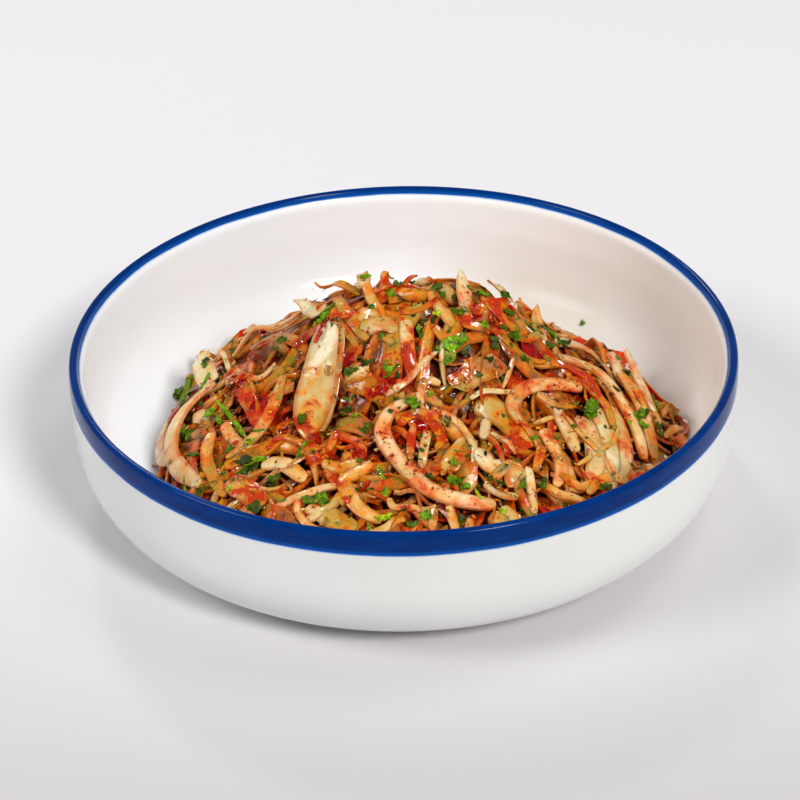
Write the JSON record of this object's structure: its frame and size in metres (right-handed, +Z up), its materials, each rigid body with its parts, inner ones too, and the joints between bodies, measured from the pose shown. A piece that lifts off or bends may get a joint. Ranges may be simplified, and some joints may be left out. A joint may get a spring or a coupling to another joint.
{
  "type": "bowl of onion salad",
  "caption": "Low round glazed bowl with a rounded blue rim, heaped with a dressed salad of sliced onion strips and chopped herbs.",
  "frame": {"origin": "centre of the foot ring's underside, on the surface that the bowl stands on", "axes": "+Z up along the bowl's axis, -Y towards the side that faces the viewer, +X to that viewer's right"},
  "size_m": [0.2006, 0.2006, 0.062],
  "materials": {
    "bowl": "glossy white glaze with a blue band on the rim",
    "salad": "wet onion strips with red dressing, chilli flakes and chopped parsley"
  },
  "bodies": {
    "root": {"bowl": "bowl", "salad": "salad"}
  },
  "joints": []
}
